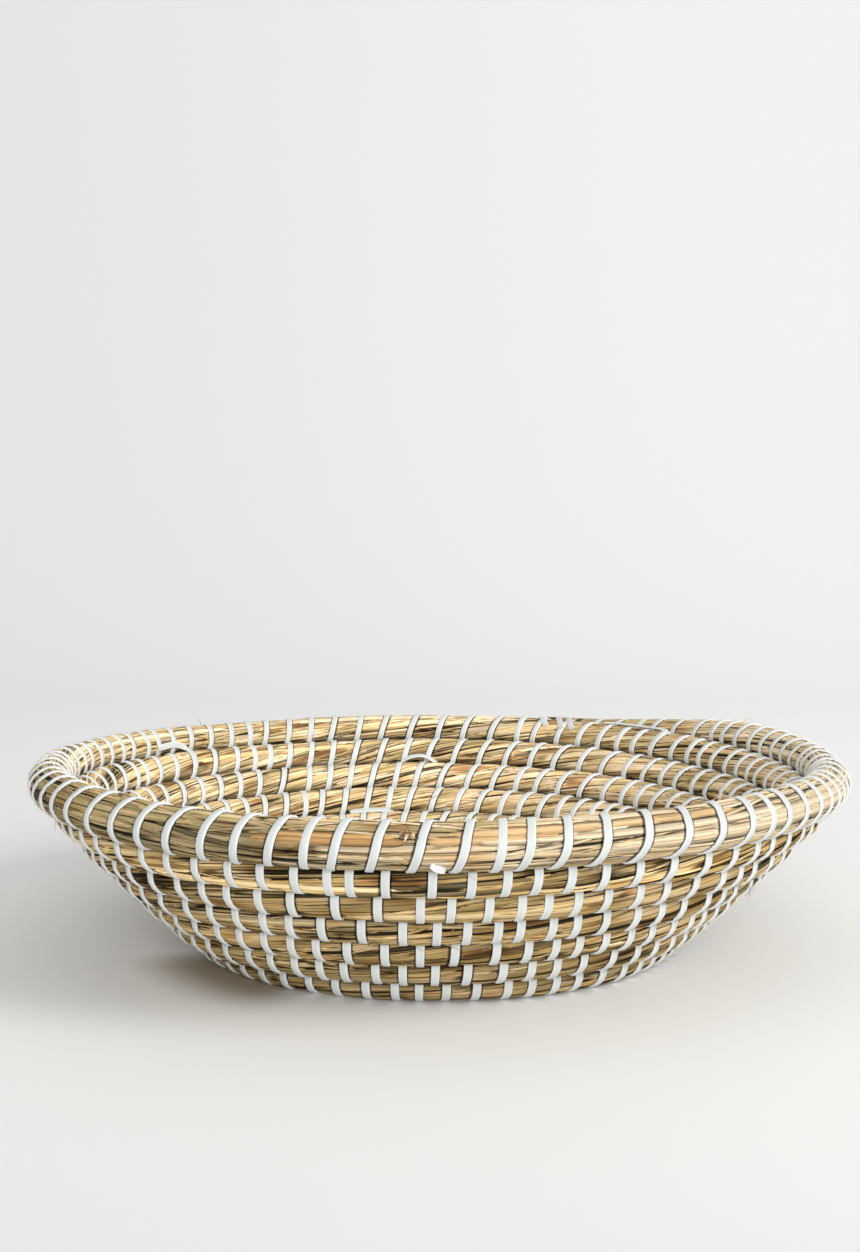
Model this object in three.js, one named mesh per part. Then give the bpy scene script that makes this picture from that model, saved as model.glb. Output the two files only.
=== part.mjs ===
// A shallow coiled basket of kans grass. One bundle of dry grass is wound outwards from the middle of the
// floor, up the sloping wall and once round the rim, where it tapers away. Flat white strip is wound round
// the rim row and passes between it and the row below. Millimetres, +Z up, with the origin on the
// basket's axis at the level that it stands on.
import * as THREE from "three";

// Line that the middle of the bundle follows, from the axis outwards
const floorRadius = 91.5;
const bendRadius = 20;
const wallFootSlope = 41.5; // degrees above level
const wallSlopeGain = 7.5; // degrees, as the wall grows steeper towards the rim
const wallLength = 95.6;

// Bundle of grass
const rowPitch = 15.55;
const bundleThickness = 16.9; // through the wall
const flattenedShare = 0.1; // of the thickness, pressed flat where the floor rests
const innerEndTurn = 0.5; // turns from the axis to the inner end
const innerEndScale = 0.85;
const innerTaperTurns = 0.5;
const eyeRadius = 2; // of the opening in the middle of the first loop
const tailScale = 0.22;
const tailTurns = 0.14;
const tailAzimuth = 69; // degrees, with the front at 270 and the back at 90
const jointGap = 0.3;

// Flat strip
const stripWidth = 3;
const stripThickness = 0.6;
const stripClearance = 0.35;
const stitchesPerTurn = 86;
const stripEndGap = 0.5;
const backStitches = 19;
const leftStitches = 29;

// Handmade unevenness of the winding
const climbSwing = 0.13; // rows
const climbSwingAzimuth = -18; // degrees
const rimWaves = [
  { lobes: 1, rise: 0.4, peak: 188 },
  { lobes: 2, rise: 0.7, peak: 38 },
  { lobes: 3, rise: 0.9, peak: 70 },
];

// Facets
const sides = 6;
const stepsPerTurn = 24;
const tailRefinement = 2;

const fullTurn = 2 * Math.PI;
const rad = THREE.MathUtils.degToRad;
const rowGap = stripThickness + 2 * stripClearance;
const restHeight = bundleThickness * (0.5 - flattenedShare);
const outline = [
  { length: floorRadius, turned: 0 },
  { length: bendRadius * rad(wallFootSlope), turned: rad(wallFootSlope) },
  { length: wallLength, turned: rad(wallSlopeGain) },
];
const outlineLength = outline.reduce((sum, arc) => sum + arc.length, 0);
const turns = outlineLength / rowPitch;
const finePerTurn = stepsPerTurn * tailRefinement;

// Corner directions in the section: the floor rows have a flat side down, the wall rows a flat side towards
// each neighbour.
const floorShape = 0;
const wallShape = fullTurn / sides / 2;

// Radius, height and slope of the outline at a distance along it: a chain of arcs that goes on straight.
function outlineAt(distance) {
  const at = { radius: 0, height: restHeight, slope: 0 };
  let left = distance;
  for (const arc of [...outline, { length: Infinity, turned: 0 }]) {
    const run = Math.min(left, arc.length);
    const half = (arc.turned * (run / arc.length)) / 2;
    const chord = half === 0 ? run : (run * Math.sin(half)) / half;
    at.radius += chord * Math.cos(at.slope + half);
    at.height += chord * Math.sin(at.slope + half);
    at.slope += 2 * half;
    left -= run;
    if (left <= 0) break;
  }
  return at;
}

const rimHeight = outlineAt(outlineLength).height;

function azimuthOf(turn) {
  return rad(tailAzimuth) + fullTurn * (turn - turns);
}

// Middle of the bundle, a number of turns out from the axis, at an azimuth.
function rowCentre(turn, azimuth) {
  const swing = climbSwing * (turn / turns) * Math.cos(azimuth - rad(climbSwingAzimuth));
  const at = outlineAt(rowPitch * (turn - swing));
  const lift = (at.height - restHeight) / (rimHeight - restHeight);
  for (const { lobes, rise, peak } of rimWaves) {
    at.height += lift * rise * Math.cos(lobes * (azimuth - rad(peak)));
  }
  return at;
}

// Distance from one row to the next on the same azimuth, and its heading above level.
function stepBetween(inner, outer) {
  const across = outer.radius - inner.radius;
  const up = outer.height - inner.height;
  return { distance: Math.hypot(across, up), heading: Math.atan2(up, across) };
}

// Half width of the bundle along the wall, at a depth through it. Rows press against each other, so each
// side lies half a gap short of the plane midway between two rows.
function sideReach(step, slope, depth) {
  const lean = step.heading - slope;
  return ((step.distance - rowGap) / 2 - depth * Math.sin(lean)) / Math.cos(lean);
}

// Cross-section of the bundle at a turn, as corners [along the wall, through the wall]. The first loop has no
// row inside it, so it reaches in to the eye, and it leaves a step free before it passes the inner end.
function sectionAt(turn, shape) {
  const azimuth = azimuthOf(turn);
  const centre = rowCentre(turn, azimuth);
  const outwards = stepBetween(centre, rowCentre(turn + 1, azimuth));
  const aroundEye = turn < innerEndTurn + 1 - 1.5 / stepsPerTurn;
  const inwards = aroundEye ? outwards : stepBetween(rowCentre(turn - 1, azimuth), centre);
  const angles = Array.from({ length: sides }, (_, i) => shape + (i * fullTurn) / sides);
  const highest = Math.max(...angles.map(Math.sin));
  const corners = angles.map((angle) => {
    const depth = ((bundleThickness / 2) * Math.sin(angle)) / highest;
    let reach = sideReach(outwards, centre.slope, depth);
    if (Math.cos(angle) < 0) {
      reach = aroundEye ? centre.radius - eyeRadius : sideReach(inwards, centre.slope, -depth);
    }
    return new THREE.Vector2((reach * Math.cos(angle)) / Math.cos(shape), depth);
  });
  return { azimuth, centre, corners };
}

// Moves each corner out, so that every side of the outline shifts by the same distance.
function grown(corners, distance) {
  return corners.map((corner, i) => {
    const before = corners[(i + corners.length - 1) % corners.length];
    const after = corners[(i + 1) % corners.length];
    const first = corner.clone().sub(before).normalize();
    const second = after.clone().sub(corner).normalize();
    const sum = new THREE.Vector2(first.y + second.y, -first.x - second.x);
    return corner.clone().addScaledVector(sum, distance / (1 + first.dot(second)));
  });
}

// Scale of the section, full size apart from the two tapered ends.
function scaleAt(turn) {
  const inner = THREE.MathUtils.smoothstep(turn, innerEndTurn, innerEndTurn + innerTaperTurns);
  const tail = THREE.MathUtils.smoothstep(turn, turns - tailTurns, turns);
  return (innerEndScale + (1 - innerEndScale) * inner) * (1 - (1 - tailScale) * tail);
}

// The section in space, grown by a distance. The tapered tail lies against the row below it, and the tapered
// inner end against the eye and on the floor. Nothing reaches below the floor.
function ringAt(turn, shape, growth = 0) {
  const { azimuth, centre, corners } = sectionAt(turn, shape);
  const scale = scaleAt(turn);
  const onWall = centre.slope > 0;
  const seat = new THREE.Vector2(Math.min(...corners.map((corner) => corner.x)), onWall ? 0 : -restHeight);
  const scaled = corners.map((corner) => corner.clone().sub(seat).multiplyScalar(scale).add(seat));
  return grown(scaled, growth).map((corner) => {
    const radius = centre.radius + corner.x * Math.cos(centre.slope) - corner.y * Math.sin(centre.slope);
    const height = centre.height + corner.x * Math.sin(centre.slope) + corner.y * Math.cos(centre.slope);
    return new THREE.Vector3(radius * Math.cos(azimuth), radius * Math.sin(azimuth), Math.max(height, 0));
  });
}

function mixedRing(first, second, share) {
  return first.map((corner, i) => corner.clone().lerp(second[i], share));
}

// A closed solid through a list of rings with equally many corners, with a flat cap on each end.
function tubeThrough(rings) {
  const count = rings[0].length;
  const indices = [];
  for (let i = 0; i + 1 < rings.length; i++) {
    for (let j = 0; j < count; j++) {
      const here = i * count + j;
      const beside = i * count + ((j + 1) % count);
      indices.push(here, here + count, beside, beside, here + count, beside + count);
    }
  }
  const last = (rings.length - 1) * count;
  for (let j = 1; j + 1 < count; j++) {
    indices.push(0, j, j + 1);
    indices.push(last, last + j + 1, last + j);
  }
  const geometry = new THREE.BufferGeometry().setFromPoints(rings.flat());
  geometry.setIndex(indices);
  geometry.computeVertexNormals();
  return geometry;
}

// Turns at which the bundle has a ring. They are counted back from the tail, so that the rings of
// neighbouring rows stand side by side.
function ringTurns(from, to) {
  const list = [];
  for (let step = Math.ceil((turns - from) * finePerTurn); step >= 0; step--) {
    const turn = turns - step / finePerTurn;
    const coarse = step % tailRefinement === 0;
    const inTail = turn > turns - tailTurns;
    if (turn > from && turn < to && (coarse || inTail)) list.push(turn);
  }
  return list;
}

// A straight joint lies in the middle of the step that holds a turn, so both ends meet square.
function jointNear(turn) {
  const step = Math.floor((turns - turn) * stepsPerTurn);
  return turns - (step + 0.5) / stepsPerTurn;
}

// Ring on a joint's straight step, half the joint's gap to one side of its middle.
function jointRing(joint, shape, side) {
  const first = ringAt(joint - 0.5 / stepsPerTurn, shape);
  const second = ringAt(joint + 0.5 / stepsPerTurn, shape);
  const share = 0.5 + (side * jointGap) / 2 / first[0].distanceTo(second[0]);
  return mixedRing(first, second, share);
}

const floorJoint = jointNear(floorRadius / rowPitch);
const rimJoint = jointNear(turns - 1);

const floorRings = [
  ringAt(innerEndTurn, floorShape),
  ...ringTurns(innerEndTurn, floorJoint).map((turn) => ringAt(turn, floorShape)),
  jointRing(floorJoint, floorShape, -1),
];
const wallRings = [
  jointRing(floorJoint, wallShape, 1),
  ...ringTurns(floorJoint, rimJoint).map((turn) => ringAt(turn, wallShape)),
  jointRing(rimJoint, wallShape, -1),
];
const rimRings = [
  jointRing(rimJoint, wallShape, 1),
  ...ringTurns(rimJoint, turns).map((turn) => ringAt(turn, wallShape)),
  ringAt(turns, wallShape),
];

// Corner of the faceted rim row at any turn, pushed out by a distance.
const rimTurns = [rimJoint - 0.5 / stepsPerTurn, ...ringTurns(rimJoint, turns), turns];
function rimCorner(turn, index, growth) {
  const next = Math.max(1, rimTurns.findIndex((at) => at >= turn));
  const share = (turn - rimTurns[next - 1]) / (rimTurns[next] - rimTurns[next - 1]);
  const first = ringAt(rimTurns[next - 1], wallShape, growth)[index];
  return first.lerp(ringAt(rimTurns[next], wallShape, growth)[index], share);
}

// Section of the flat strip where it lies over a place round the rim row. Places count the sides on from the
// first corner. The strip's width runs along the row.
function stripRing(turn, place) {
  const index = Math.floor(place) % sides;
  const share = place - Math.floor(place);
  const halfWidth = stripWidth / 2 / (fullTurn * rowCentre(turn, azimuthOf(turn)).radius);
  const low = stripClearance;
  const high = stripClearance + stripThickness;
  const edges = [[halfWidth, low], [halfWidth, high], [-halfWidth, high], [-halfWidth, low]];
  return edges.map(([aside, growth]) => {
    const corner = rimCorner(turn + aside, index, growth);
    return corner.lerp(rimCorner(turn + aside, (index + 1) % sides, growth), share);
  });
}

// One length of strip: whole stitches round the rim row, each a little further on than the last. Both ends
// are tucked in the groove under the row, halfway across it.
function windingRings(firstStitch, stitches) {
  const startTurn = turns - 1 + firstStitch / stitchesPerTurn;
  const grooveLow = (sides - 1) / 2;
  const grooveWidth = rimCorner(startTurn, Math.floor(grooveLow), 0)
    .distanceTo(rimCorner(startTurn, Math.ceil(grooveLow), 0));
  const startPlace = grooveLow + stripEndGap / 2 / grooveWidth;
  const endPlace = grooveLow + stitches * sides - stripEndGap / 2 / grooveWidth;
  const places = [startPlace];
  for (let place = Math.ceil(startPlace); place < endPlace; place++) {
    places.push(place);
  }
  places.push(endPlace);
  return places.map((place) => {
    return stripRing(startTurn + (place - grooveLow) / sides / stitchesPerTurn, place);
  });
}

// The rim row has room for one stitch less at each end.
const rightStitches = stitchesPerTurn - 2 - backStitches - leftStitches;
const backRings = windingRings(1, backStitches);
const leftRings = windingRings(1 + backStitches, leftStitches);
const rightRings = windingRings(1 + backStitches + leftStitches, rightStitches);

// Least distance between points of one tube that lie between half a loop and two loops apart along it.
function leastGap(rings, ringsPerLoop) {
  const between = rings.slice(1).map((ring, i) => mixedRing(rings[i], ring, 0.5));
  const alongTube = rings.flatMap((ring, i) => (i < between.length ? [ring, between[i]] : [ring]));
  const points = alongTube.map((ring) => {
    return ring.flatMap((corner, j) => [corner, corner.clone().lerp(ring[(j + 1) % ring.length], 0.5)]);
  });
  const loop = 2 * ringsPerLoop;
  let least = Infinity;
  for (let i = 0; i < points.length; i++) {
    for (const other of points.slice(i + loop / 2, i + 2 * loop).flat()) {
      for (const point of points[i]) {
        least = Math.min(least, point.distanceTo(other));
      }
    }
  }
  return least;
}

console.log("least gap between floor rows, mm:", leastGap(floorRings, stepsPerTurn).toFixed(2));
console.log("least gap between wall rows, mm:", leastGap(wallRings, stepsPerTurn).toFixed(2));
console.log("least gap between stitches, mm:", leastGap(rightRings, sides).toFixed(2));

const straw = { color: 0xc2a56d, roughness: 0.8, metalness: 0 };
const white = { color: 0xeeeeea, roughness: 0.45, metalness: 0 };

function piece(name, rings, look) {
  const mesh = new THREE.Mesh(tubeThrough(rings), new THREE.MeshStandardMaterial(look));
  mesh.name = name;
  return mesh;
}

const basket = new THREE.Group();
basket.add(
  piece("base_coil", floorRings, straw),
  piece("wall_coil", wallRings, straw),
  piece("rim_coil", rimRings, straw),
  piece("rim_lashing_back", backRings, white),
  piece("rim_lashing_left", leftRings, white),
  piece("rim_lashing_right", rightRings, white),
);

export default basket;
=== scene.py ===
# A shallow coiled basket of kans grass: one bundle of dry grass wound into a bowl, each row lashed to the
# row below it with flat white strip. Unless a note says otherwise, lengths are set in metres and angles in
# degrees.
import math

import bpy
import numpy as np
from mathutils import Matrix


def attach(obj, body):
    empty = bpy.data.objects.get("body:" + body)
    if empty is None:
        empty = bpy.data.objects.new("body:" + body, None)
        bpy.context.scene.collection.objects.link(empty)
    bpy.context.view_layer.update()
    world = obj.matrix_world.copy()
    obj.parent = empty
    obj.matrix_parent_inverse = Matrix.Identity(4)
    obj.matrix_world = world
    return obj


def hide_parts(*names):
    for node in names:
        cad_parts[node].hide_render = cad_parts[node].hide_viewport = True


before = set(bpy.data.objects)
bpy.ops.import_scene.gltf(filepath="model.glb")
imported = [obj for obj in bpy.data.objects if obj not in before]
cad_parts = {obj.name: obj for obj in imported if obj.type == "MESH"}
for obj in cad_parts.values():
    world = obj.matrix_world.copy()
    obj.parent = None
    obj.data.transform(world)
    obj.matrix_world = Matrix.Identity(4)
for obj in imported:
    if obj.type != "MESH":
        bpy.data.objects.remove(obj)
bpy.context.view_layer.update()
print("frame loaded:", sorted(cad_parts))

fullTurn = 2 * math.pi


def smoothstep(value, start, end):
    # 0 before start, 1 after end, and 3 share squared less 2 share cubed between them
    share = np.clip((value - start) / (end - start), 0, 1)
    return share * share * (3 - 2 * share)


# The line that the middle of the bundle follows
bundle = {
    "floorRadius": 0.0915,
    "bendRadius": 0.020,
    "footSlope": 41.5,
    "slopeGain": 7.5,
    "wallLength": 0.0956,
    "rowPitch": 0.01555,
    "thickness": 0.0169,
    "flattened": 0.1,
    "tailAzimuth": 69,
    "climbSwing": 0.13,
    "climbSwingAzimuth": -18,
    "rimWaves": ((1, 0.0004, 188), (2, 0.0007, 38), (3, 0.0009, 70)),
    "innerEndTurn": 0.5,
    "eyeRadius": 0.0015,
    "tailScale": 0.22,
    "tailTurns": 0.14,
    "roundness": 2.3,
    "press": 1.05,
    "freeRimHalf": 0.0080,
    "freeRimRoom": 0.004,
    "freeWithin": 0.04,
    "rimBlend": 0.03,
    "eyeTurns": 0.94,
    "clearOfFloor": 0.0008,
    "swell": 0.00045,
    "swellWaves": ((37, 1, 0.0, 1.0), (61, -1, 2.2, 1.0), (129, 2, 4.0, 0.7), (233, -3, 1.0, 0.5)),
}
restHeight = bundle["thickness"] * (0.5 - bundle["flattened"])
# The outline's arcs, from the middle of the floor to the rim: the length of each, and the angle it turns by
arcs = (
    (bundle["floorRadius"], 0.0),
    (bundle["bendRadius"] * math.radians(bundle["footSlope"]), math.radians(bundle["footSlope"])),
    (bundle["wallLength"], math.radians(bundle["slopeGain"])),
    (math.inf, 0.0),
)
turns = sum(length for length, turned in arcs[:-1]) / bundle["rowPitch"]


def outlineAt(distance):
    # Radius, height and slope of the outline: arcs laid end to end, each one reached along its chord
    radius = np.zeros_like(distance)
    height = np.full_like(distance, restHeight)
    slope = np.zeros_like(distance)
    left = np.maximum(distance, 0)
    for length, turned in arcs:
        run = np.minimum(left, length)
        half = turned * run / length / 2
        chord = run * np.sinc(half / math.pi)
        radius = radius + chord * np.cos(slope + half)
        height = height + chord * np.sin(slope + half)
        slope = slope + 2 * half
        left = left - run
    return radius, height, slope


rimHeight = float(outlineAt(np.array([turns * bundle["rowPitch"]]))[1][0])


def azimuthOf(turn):
    # The bundle ends at the tail's azimuth, and every turn back from there goes once round
    return math.radians(bundle["tailAzimuth"]) + fullTurn * (turn - turns)


def rimShare(turn):
    # 0 along the rows below the rim and 1 along the rim, with a smooth step between
    return smoothstep(turn, turns - (1 + bundle["rimBlend"]), turns - (1 - bundle["rimBlend"]))


def freeShare(turn):
    # 0 where another row lies above and 1 where the top of the row is free, with a smooth step between
    return smoothstep(turn, turns - 1, turns - (1 - bundle["freeWithin"]))


def rowCentre(turn, azimuth):
    # The distance along the outline grows by one pitch a turn and swings once round the bowl. The rows rise
    # and sink in low waves, most of all at the rim.
    swing = bundle["climbSwing"] * turn / turns * np.cos(azimuth - math.radians(bundle["climbSwingAzimuth"]))
    radius, height, slope = outlineAt(bundle["rowPitch"] * (turn - swing))
    lift = (height - restHeight) / (rimHeight - restHeight)
    for lobes, rise, peak in bundle["rimWaves"]:
        height = height + lift * rise * np.cos(lobes * (azimuth - math.radians(peak)))
    return radius, height, slope


# Length along the bundle, and the angle that its stems have turned by, at any turn. Both are running sums.
# The rates and the sway are in radians a metre, and rimFade is in turns back from the bundle's end.
twist = {
    "wallRate": 19.0,
    "rimRate": 6.0,
    "rimFade": (1.15, 0.9),
    "backRate": 6.0,
    "sway": 5.0,
    "swayLength": 0.31,
    "samples": 8001,
}
fineTurns = np.linspace(bundle["innerEndTurn"], turns, twist["samples"])
fineRadius = rowCentre(fineTurns, azimuthOf(fineTurns))[0]
stepLengths = fullTurn * np.diff(fineTurns) * (fineRadius[1:] + fineRadius[:-1]) / 2
fineLength = np.concatenate([[0], np.cumsum(stepLengths)])
fadeStart, fadeEnd = twist["rimFade"]
fineRate = twist["wallRate"] + (twist["rimRate"] - twist["wallRate"]) * smoothstep(
    fineTurns, turns - fadeStart, turns - fadeEnd)
fineRate = fineRate + twist["sway"] * np.sin(fineLength * fullTurn / twist["swayLength"])
fineRate = fineRate + twist["backRate"] * np.sin(azimuthOf(fineTurns))
fineTwist = np.concatenate([[0], np.cumsum(stepLengths * fineRate[1:])])


def lengthAt(turn):
    # Metres along the bundle from its inner end, read off the running sum with straight lines between
    return np.interp(turn, fineTurns, fineLength)


def turnAt(length):
    # The same sum read the other way
    return np.interp(length, fineLength, fineTurns)


def twistAt(turn):
    # Radians that the stems have turned by, read off their own sum
    return np.interp(turn, fineTurns, fineTwist)


def waveSum(length, angle, waves):
    # Sine waves of the length and the angle, added up. Each has its rate in radians a metre, how often it
    # repeats round the row, its phase in radians and its height.
    return sum(height * np.sin(length * rate + lobes * angle + phase)
               for rate, lobes, phase, height in waves)


def swellAt(turn, angle):
    # Low lumps of the whole bundle: the sum of the swell's waves over the sum of their heights
    waves = bundle["swellWaves"]
    return bundle["swell"] * waveSum(lengthAt(turn), angle, waves) / sum(wave[3] for wave in waves)


def placeOnBundle(turn, angle, lift):
    # A superellipse about the middle of the row, pushed out by the lift and the swell, cut off at the planes
    # midway to the rows beside it, scaled down at the bundle's tail, and pressed flat on the floor.
    # Angle 0 points up the wall, 90 degrees to the inside of the bowl, 180 degrees to the row below.
    azimuth = azimuthOf(turn)
    radius, height, slope = rowCentre(turn, azimuth)
    outRadius, outHeight = rowCentre(turn + 1, azimuth)[:2]
    inRadius, inHeight = rowCentre(turn - 1, azimuth)[:2]
    outHalf = np.hypot(outRadius - radius, outHeight - height) / 2
    inHalf = np.hypot(radius - inRadius, height - inHeight) / 2
    outLean = np.arctan2(outHeight - height, outRadius - radius) - slope
    inLean = np.arctan2(height - inHeight, radius - inRadius) - slope
    free = freeShare(turn)
    aroundEye = turn < bundle["innerEndTurn"] + bundle["eyeTurns"]
    inHalf = np.where(aroundEye, radius - bundle["eyeRadius"], inHalf)
    inLean = np.where(aroundEye, 0, inLean)
    outWide = outHalf * bundle["press"] * (1 - free) + bundle["freeRimHalf"] * free
    wide = np.where(np.cos(angle) > 0, outWide, inHalf * bundle["press"])
    power = bundle["roundness"]
    reach = (np.abs(np.cos(angle) / wide) ** power
             + np.abs(np.sin(angle) / (bundle["thickness"] / 2)) ** power) ** (-1 / power)
    reach = reach + lift + swellAt(turn, angle)
    along = reach * np.cos(angle)
    through = reach * np.sin(angle)
    room = bundle["freeRimRoom"] * free
    outLimit = (outHalf - through * np.sin(outLean)) / np.cos(outLean) + lift + room
    inLimit = (inHalf + through * np.sin(inLean)) / np.cos(inLean) + lift
    along = np.maximum(np.minimum(along, outLimit), -inLimit)
    scale = 1 - (1 - bundle["tailScale"]) * smoothstep(turn, turns - bundle["tailTurns"], turns)
    seatThrough = np.where(slope > 0, 0, -restHeight)
    along = -inHalf + (along + inHalf) * scale
    through = seatThrough + (through - seatThrough) * scale
    away = radius + along * np.cos(slope) - through * np.sin(slope)
    up = height + along * np.sin(slope) + through * np.cos(slope)
    up = np.maximum(up, np.maximum(bundle["clearOfFloor"] - lift, 0))
    return np.stack([away * np.cos(azimuth), away * np.sin(azimuth), up], axis=-1)


# Where the stitches lie. The shares are of the space between two stitches, and outsideWay, insideWay and
# grooveMoves say between which shares of its way round the row a stitch moves on. firstTurn, pastEnd and
# phase are in turns.
stitching = {
    "rimSpacing": 0.0121,
    "footSpacing": 0.0092,
    "footRadius": 0.101,
    "fullRadius": 0.146,
    "outsideShare": 0.06,
    "rimOutsideShare": 0.36,
    "insideShare": 0.50,
    "rimInsideShare": 0.44,
    "outsideWay": (0.02, 0.5),
    "insideWay": (0.5, 0.98),
    "grooveMoves": ((0.3, 0, 0.06), (0.3, 0.45, 0.55), (0.4, 0.94, 1)),
    "jitter": 0.08,
    "ladderPull": 0.85,
    "ladderReach": 0.38,
    "firstTurn": 0.03,
    "pastEnd": 0.02,
    "phase": 0.0069,
    "pinchReach": 0.0019,
    "seed": 11,
}


def stitchSpacing(turn):
    # In metres: one spacing up to the foot's radius, another from the full radius on, and a straight line
    # between them
    radius = np.interp(turn, fineTurns, fineRadius)
    return np.interp(radius, [stitching["footRadius"], stitching["fullRadius"]],
                     [stitching["footSpacing"], stitching["rimSpacing"]])


def layStitches():
    # Each stitch starts one spacing after the last, drawn towards the place where it meets the top of a
    # stitch of the row below, so the stitches line up in ladders inside the bowl, and then moved a little at
    # random
    draw = np.random.default_rng(stitching["seed"])
    starts = [bundle["innerEndTurn"] + stitching["firstTurn"]]
    while starts[-1] < turns + stitching["pastEnd"]:
        last = starts[-1]
        step = stitchSpacing(last) / (fullTurn * np.interp(last, fineTurns, fineRadius))
        target = last + step
        below = np.array(starts) + 1 - stitching["insideShare"] * step
        nearest = below[np.argmin(np.abs(below - target))]
        if abs(nearest - target) < stitching["ladderReach"] * step:
            target = target + stitching["ladderPull"] * (nearest - target)
        starts.append(target + stitching["jitter"] * step * draw.normal())
    return np.array(starts) + stitching["phase"]


stitchTurns = layStitches()
stitchNumbers = np.arange(len(stitchTurns))


def advanceAt(turn, share):
    # How far a stitch has moved on along the row, as a share of the spacing, at a share of its way round: one
    # smooth step outside, one inside, and the rest of the move in the grooves
    rim = rimShare(turn)
    outside = stitching["outsideShare"] + (stitching["rimOutsideShare"] - stitching["outsideShare"]) * rim
    inside = stitching["insideShare"] + (stitching["rimInsideShare"] - stitching["insideShare"]) * rim
    groove = sum(part * smoothstep(share, start, end) for part, start, end in stitching["grooveMoves"])
    return (outside * smoothstep(share, *stitching["outsideWay"])
            + inside * smoothstep(share, *stitching["insideWay"]) + (1 - outside - inside) * groove)


def stitchCount(turn, angle):
    # Counts the stitches along the row. It is a whole number under the middle of a strip.
    share = np.mod(angle - math.pi, fullTurn) / fullTurn
    return np.interp(turn, stitchTurns, stitchNumbers) - advanceAt(turn, share)


def pinchAt(turn, angle):
    # 1 under the middle of a strip, falling as a bell curve of the distance along the row
    count = stitchCount(turn, angle)
    distance = np.abs(count - np.round(count)) * stitchSpacing(turn)
    return np.exp(-(distance / stitching["pinchReach"]) ** 2)


print("stitches:", len(stitchTurns))


# Meshes
def meshPiece(name, points, faces, material, **attributes):
    # Smooth faces that all have as many corners. Each attribute is a value, a vector or a colour at each
    # point.
    mesh = bpy.data.meshes.new(name)
    mesh.vertices.add(len(points))
    mesh.vertices.foreach_set("co", points.astype(np.float32).ravel())
    mesh.loops.add(faces.size)
    mesh.loops.foreach_set("vertex_index", faces.astype(np.int32).ravel())
    mesh.polygons.add(len(faces))
    mesh.polygons.foreach_set("loop_start", np.arange(0, faces.size, faces.shape[1], dtype=np.int32))
    mesh.polygons.foreach_set("use_smooth", np.ones(len(faces), dtype=bool))
    for key, values in attributes.items():
        kind = {1: "FLOAT", 3: "FLOAT_VECTOR", 4: "FLOAT_COLOR"}[1 if values.ndim == 1 else values.shape[1]]
        layer = mesh.attributes.new(key, kind, "POINT")
        slotName = {"FLOAT": "value", "FLOAT_VECTOR": "vector", "FLOAT_COLOR": "color"}[kind]
        layer.data.foreach_set(slotName, values.astype(np.float32).ravel())
    mesh.update(calc_edges=True)
    mesh.validate()
    piece = bpy.data.objects.new(name, mesh)
    bpy.context.scene.collection.objects.link(piece)
    mesh.materials.append(material)
    return piece


def tubeFaces(tubes, rings, around):
    # Quads of closed tubes whose points are numbered tube by tube, ring by ring
    tube, ring, side = np.meshgrid(np.arange(tubes), np.arange(rings - 1), np.arange(around), indexing="ij")
    here = (tube * rings + ring) * around + side
    beside = (tube * rings + ring) * around + (side + 1) % around
    return np.stack([here, here + around, beside + around, beside], axis=-1).reshape(-1, 4)


def capFaces(tubes, rings, around):
    # Both ends of each tube closed by quads that fan out from its first point. The count around is even.
    first = np.arange(tubes)[:, None] * rings * around
    fan = np.arange(1, around - 1, 2)
    start = np.stack([np.zeros_like(fan), fan, fan + 1, fan + 2], axis=-1)
    ends = []
    for offset, order in ((0, [0, 1, 2, 3]), ((rings - 1) * around, [3, 2, 1, 0])):
        ends.append((first[:, :, None] + offset + start[None][:, :, order]).reshape(-1, 4))
    return np.concatenate(ends)


# Materials
palette = {
    "shares": (0.0, 0.13, 0.32, 0.52, 0.72, 0.87, 1.0),
    "red": (0.14, 0.33, 0.46, 0.62, 0.77, 0.70, 0.42),
    "green": (0.075, 0.19, 0.36, 0.45, 0.64, 0.44, 0.23),
    "blue": (0.030, 0.08, 0.17, 0.23, 0.44, 0.20, 0.09),
}


def tintOf(share):
    # Grass colours in order: umber, brown, olive, tan, pale straw, gold and orange brown
    channels = [np.interp(share, palette["shares"], palette[c]) for c in ("red", "green", "blue")]
    return np.stack(channels + [np.ones_like(share)], axis=-1)


def newMaterial(name):
    # One Principled shader on the surface, with nothing fed to it yet
    material = bpy.data.materials.new(name)
    material.use_nodes = True
    nodes = material.node_tree.nodes
    nodes.clear()
    output = nodes.new("ShaderNodeOutputMaterial")
    shader = nodes.new("ShaderNodeBsdfPrincipled")
    material.node_tree.links.new(shader.outputs["BSDF"], output.inputs["Surface"])
    return material, material.node_tree, shader


def feed(tree, value, socket):
    # A socket takes a link from another socket, or a plain value
    if isinstance(value, bpy.types.NodeSocket):
        tree.links.new(value, socket)
    else:
        socket.default_value = value


def calculated(tree, operation, *values):
    # One sum, product or other operation on plain values and sockets
    node = tree.nodes.new("ShaderNodeMath")
    node.operation = operation
    for value, socket in zip(values, node.inputs):
        feed(tree, value, socket)
    return node.outputs["Value"]


def ranged(tree, value, fromLow, fromHigh, toLow, toHigh):
    # From toLow to toHigh as the value goes from fromLow to fromHigh, level at both ends
    node = tree.nodes.new("ShaderNodeMapRange")
    node.interpolation_type = "SMOOTHSTEP"
    names = ("Value", "From Min", "From Max", "To Min", "To Max")
    for name, setting in zip(names, (value, fromLow, fromHigh, toLow, toHigh)):
        feed(tree, setting, node.inputs[name])
    return node.outputs["Result"]


def mixed(tree, factor, first, second):
    # The first colour at a factor of 0, the second at 1, and a straight mix between
    node = tree.nodes.new("ShaderNodeMix")
    node.data_type = "RGBA"
    for name, kind, setting in (("Factor", "VALUE", factor), ("A", "RGBA", first), ("B", "RGBA", second)):
        feed(tree, setting, [one for one in node.inputs if one.name == name and one.type == kind][0])
    return [one for one in node.outputs if one.type == "RGBA"][0]


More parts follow.
